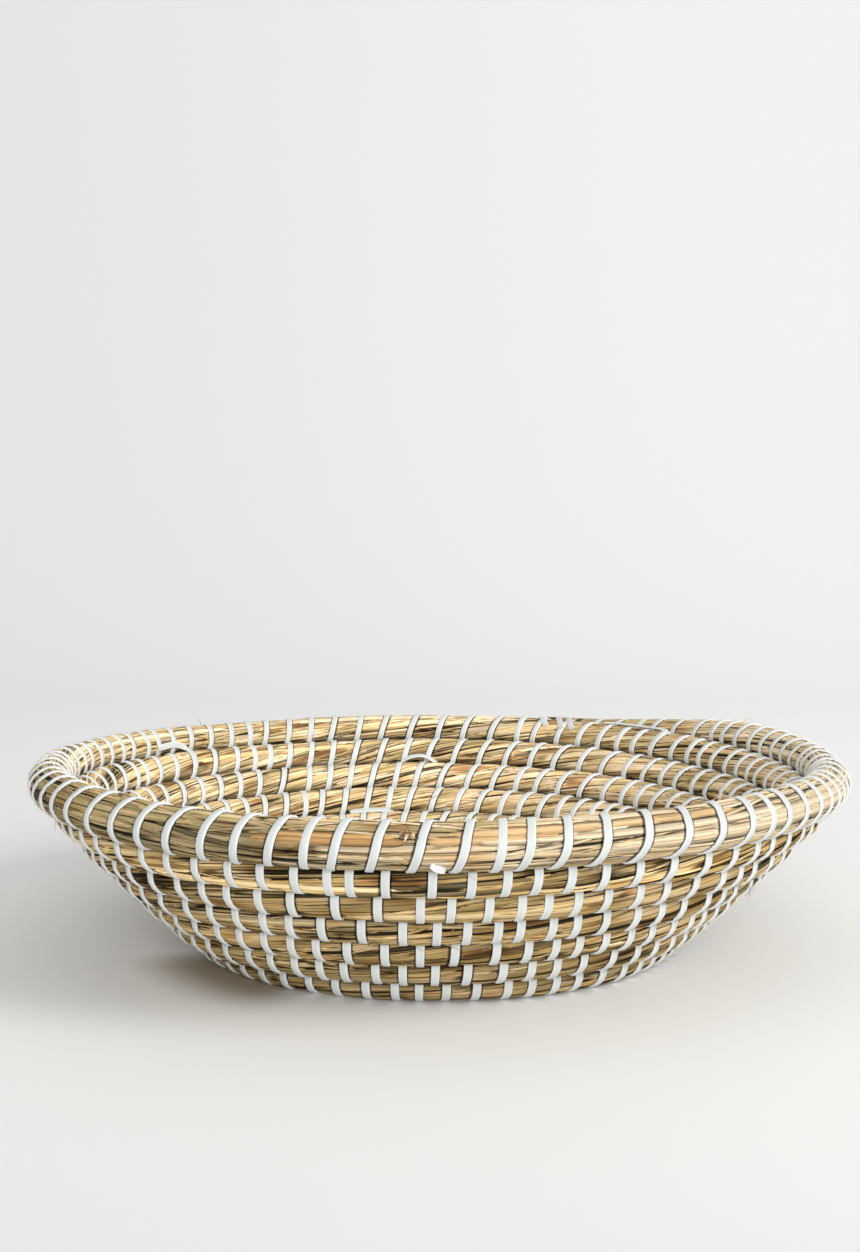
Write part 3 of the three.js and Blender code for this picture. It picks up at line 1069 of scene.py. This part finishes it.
# Loose tails of strip, and the crossing stitches over the end of the bundle. Each entry holds the degrees
# that the strip is rolled about its own length, and its path: how far back from the end of the bundle in
# turns, section angle in degrees, height off the row in millimetres.
tailPaths = (
    (0, ((0.7755, 128, 0.8), (0.7820, 123, 1.0), (0.7880, 122, 1.1), (0.7935, 130, 1.1),
         (1.7962, 46, 1.1), (1.7946, 75, 1.0), (1.7931, 100, 0.8), (1.7920, 120, 0.3))),
    (60, ((1.9220, 142, 0.2), (1.9255, 132, 1.2), (1.9290, 126, 2.0), (1.9335, 124, 2.3),
          (1.9370, 128, 1.8), (1.9395, 136, 1.2), (1.9430, 150, 0.2))),
    (60, ((3.8840, 146, 0.6), (3.8890, 142, 0.9), (3.8947, 140, 1.0), (3.9062, 140, 0.9),
          (3.9140, 152, 0.3))),
    (58, ((0.4436, 282, 0.3), (0.4424, 274, 0.9), (0.4408, 268, 1.0), (0.4392, 261, 0.3))),
    (0, ((1.0340, 42, 0.9), (1.0390, 40, 1.2), (1.0437, 40, 1.4), (1.0555, 38, 1.5), (1.0670, 40, 1.4),
         (1.0724, 50, 1.3), (1.0714, 70, 1.2), (1.0696, 100, 0.9), (1.0680, 130, 0.4))),
)
crossPaths = (
    (0, ((0.9950, 320, 0.8), (0.9970, 380, 1.5), (1.0000, 420, 1.2), (1.0030, 450, 0.6))),
    (0, ((0.0030, 320, 0.8), (0.0055, 390, 1.2), (1.0090, 60, 1.2), (1.0120, 95, 0.6))),
    (0, ((0.0085, 320, 0.8), (0.0110, 390, 1.2), (1.0145, 60, 1.2), (1.0180, 95, 0.6))),
)
tails = {
    "low": -0.0003,
    "shoulder": 0.0001,
    "high": 0.0003,
    "edge": 0.0004,
    "upStep": 0.001,
    "lineLength": 0.1,
    "cornerCuts": 4,
}


def roundedPath(path):
    # Corners cut off some times over, each time at a quarter and three quarters of every leg
    for _ in range(tails["cornerCuts"]):
        near = 0.75 * path[:-1] + 0.25 * path[1:]
        far = 0.25 * path[:-1] + 0.75 * path[1:]
        between = np.stack([near, far], axis=1).reshape(-1, path.shape[1])
        path = np.concatenate([path[:1], between, path[-1:]])
    return path


def looseStrip(name, paths):
    # Flat bands along paths on or over the surface. The side of a band is the cross product of its direction
    # and the surface's outward direction, which is measured over a small step up.
    points, faces, places, lights, used = [], [], [], [], 0
    asides, lifts = bandSection(tails["low"], tails["shoulder"], tails["high"], tails["edge"])
    sides = len(asides)
    asides, lifts = asides[None, :, None], lifts[None, :, None]
    for roll, path in paths:
        back, angle, height = np.array(path).T
        low = placeOnBundle(turns - back, np.radians(angle), height / 1000)
        high = placeOnBundle(turns - back, np.radians(angle), height / 1000 + tails["upStep"])
        rounded = roundedPath(np.concatenate([low, high - low], axis=1))
        middle, out = rounded[:, :3], rounded[:, 3:]
        out = out / np.linalg.norm(out, axis=1, keepdims=True)
        side = np.cross(np.gradient(middle, axis=0), out)
        side = side / np.linalg.norm(side, axis=1, keepdims=True)
        sine, cosine = math.sin(math.radians(roll)), math.cos(math.radians(roll))
        side, out = side * cosine + out * sine, out * cosine - side * sine
        ring = middle[:, None] + side[:, None] * asides + out[:, None] * lifts
        place = np.zeros(ring.shape) + np.concatenate([asides * 0, asides, lifts], axis=2)
        place[:, :, 0] = np.linspace(0, tails["lineLength"], len(middle))[:, None]
        points.append(ring.reshape(-1, 3))
        places.append(place.reshape(-1, 3))
        band = np.concatenate([tubeFaces(1, len(middle), sides), capFaces(1, len(middle), sides)])
        faces.append(band + used)
        used = used + len(points[-1])
        inside = max(math.sin(math.radians(angle.mean())), 0)
        lights.append(np.full(len(points[-1]), strip["rimLight"] + strip["insideLight"] * inside))
    return meshPiece(name, np.concatenate(points), np.concatenate(faces), whiteStrip,
                     stripPlace=np.concatenate(places), stripLight=np.concatenate(lights))


def stitchNear(turn):
    # The number of the first stitch that starts at the turn or after it
    return int(np.searchsorted(stitchTurns, turn))


rimFirst = stitchNear(turns - 1 + strip["rimStart"])
leftFirst = rimFirst + strip["backStitches"]
rightFirst = leftFirst + strip["leftStitches"]
rimLast = stitchNear(turns) - strip["leftOutAtEnd"]
lashingPieces = []
rimParts = (
    ("rimLashingBack", rimFirst, leftFirst, "rim_lashing_back"),
    ("rimLashingLeft", leftFirst, rightFirst, "rim_lashing_left"),
    ("rimLashingRight", rightFirst, rimLast, "rim_lashing_right"),
)
for name, first, last, node in rimParts:
    piece = lashing(name, first, last, strip["rimSteps"])
    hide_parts(node)
    lashingPieces.append(piece)
lashingPieces.append(lashing("floorLashing", 0, stitchNear(floorEnd), strip["steps"]))
for number, (start, end) in enumerate(wallRows, 1):
    last = rimFirst if number == len(wallRows) else stitchNear(end)
    lashingPieces.append(lashing(f"wallLashing{number}", stitchNear(start), last, strip["steps"]))
lashingPieces.append(looseStrip("stripTails", tailPaths))
lashingPieces.append(looseStrip("endStitches", crossPaths))
print("lashing made")

for piece in grassPieces + bladePieces:
    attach(piece, "root")
for piece in lashingPieces:
    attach(piece, "root")


# Floor and backdrop. Each shade runs from its third number to its fourth between two places along Y, or
# along X for sideShade. footShadowReach is a distance from the middle, and footShadowSide a direction from
# there; between them a painted shadow in footShadowColor lies on the floor round the foot.
stage = {
    "front": -2.2,
    "back": 0.9,
    "sweep": 1.2,
    "top": 2.6,
    "halfWidth": 3.0,
    "color": (1.0, 1.0, 0.985, 1),
    "farShade": (-1.7, -0.7, 0.42, 1.0),
    "frontShade": (-0.50, -0.12, 0.74, 0.92),
    "backShade": (-0.05, 0.8, 0, 0.08),
    "sideShade": (-0.5, 0.5, 0.96, 1.0),
    "footShadowColor": (0.40, 0.33, 0.24, 1),
    "footShadowReach": (0.108, 0.142),
    "footShadowSide": (-0.788, -0.616, 0),
    "footShadowCosine": (0.90, 0.985),
    "roughness": 0.9,
    "specular": 0.1,
    "sweepPoints": 24,
    "acrossPoints": 13,
}


def sweptStage():
    # A level floor, a quarter circle and an upright backdrop, drawn as one profile and carried sideways. A
    # painted brown shadow lies on the floor round the foot, on the side away from the key light.
    quarter = np.linspace(0, math.pi / 2, stage["sweepPoints"])
    profileY = np.concatenate([[stage["front"]], stage["back"] + stage["sweep"] * np.sin(quarter),
                               [stage["back"] + stage["sweep"]]])
    profileZ = np.concatenate([[0], stage["sweep"] * (1 - np.cos(quarter)), [stage["top"]]])
    wide = np.linspace(-stage["halfWidth"], stage["halfWidth"], stage["acrossPoints"])
    points = np.stack(np.broadcast_arrays(wide[None], profileY[:, None], profileZ[:, None]), axis=-1)
    rows, columns = points.shape[:2]
    row, column = np.meshgrid(np.arange(rows - 1), np.arange(columns - 1), indexing="ij")
    here = row * columns + column
    faces = np.stack([here, here + 1, here + columns + 1, here + columns], axis=-1).reshape(-1, 4)
    material, tree, shader = newMaterial("paleStage")
    place = tree.nodes.new("ShaderNodeTexCoord").outputs["Object"]
    where = separated(tree, place)
    light = calculated(tree, "ADD", ranged(tree, where[1], *stage["frontShade"]),
                       ranged(tree, where[1], *stage["backShade"]))
    light = calculated(tree, "MULTIPLY", light, ranged(tree, where[0], *stage["sideShade"]))
    light = calculated(tree, "MULTIPLY", light, ranged(tree, where[1], *stage["farShade"]))
    # Painted shadow: close to the foot, on the side away from the key light, the floor is mixed to
    # footShadowColor
    away = vectorValue(tree, "LENGTH", place)
    cosine = calculated(tree, "DIVIDE", vectorValue(tree, "DOT_PRODUCT", place, stage["footShadowSide"]), away)
    shade = calculated(tree, "MULTIPLY", ranged(tree, away, *stage["footShadowReach"], 1, 0),
                       ranged(tree, cosine, *stage["footShadowCosine"], 0, 1))
    color = mixed(tree, shade, stage["color"], stage["footShadowColor"])
    tree.links.new(scaled(tree, color, light), shader.inputs["Base Color"])
    shader.inputs["Roughness"].default_value = stage["roughness"]
    shader.inputs["Specular IOR Level"].default_value = stage["specular"]
    return meshPiece("paleStage", points.reshape(-1, 3), faces, material)


sweptStage()


# Light and camera
lamps = {
    "keyLight": {"place": (1.6, -1.0, 1.2), "target": (0, 0, 0.03), "size": (0.8, 0.8), "power": 22},
    "frontLight": {"place": (0.1, -2.2, 0.7), "target": (0, 0, 0.05), "size": (1.6, 0.6), "power": 26},
}
room = {"color": (1, 1, 1, 1), "strength": 0.56}


def areaLight(name, place, target, size, power):
    # A rectangle of light, tipped and turned so that it faces its target
    lamp = bpy.data.lights.new(name, "AREA")
    lamp.shape = "RECTANGLE"
    lamp.size, lamp.size_y = size
    lamp.energy = power
    thing = bpy.data.objects.new(name, lamp)
    bpy.context.scene.collection.objects.link(thing)
    thing.location = place
    aim = np.array(target) - np.array(place)
    across = math.hypot(aim[0], aim[1])
    thing.rotation_euler = (math.atan2(across, -aim[2]), 0, math.atan2(-aim[0], aim[1]))


for name, lamp in lamps.items():
    areaLight(name, **lamp)
world = bpy.data.worlds.new("paleRoom")
bpy.context.scene.world = world
world.use_nodes = True
background = world.node_tree.nodes["Background"]
background.inputs["Color"].default_value = room["color"]
background.inputs["Strength"].default_value = room["strength"]

lens = {
    "focalPixels": 1709,
    "frameHeight": 1252,
    "sensor": 36,  # millimetres
    "nearest": 0.01,
    "place": (-0.0026, -0.7461, 0.1904),
    "down": 0.071,  # radians
}
camera = bpy.data.objects.new("camera", bpy.data.cameras.new("camera"))
bpy.context.scene.collection.objects.link(camera)
camera.data.sensor_width = lens["sensor"]
camera.data.lens = lens["focalPixels"] * lens["sensor"] / lens["frameHeight"]
camera.data.clip_start = lens["nearest"]
camera.location = lens["place"]
camera.rotation_euler = (math.pi / 2 - lens["down"], 0, 0)
bpy.context.scene.camera = camera
bpy.context.scene.view_settings.view_transform = "Standard"
print("light and camera set")
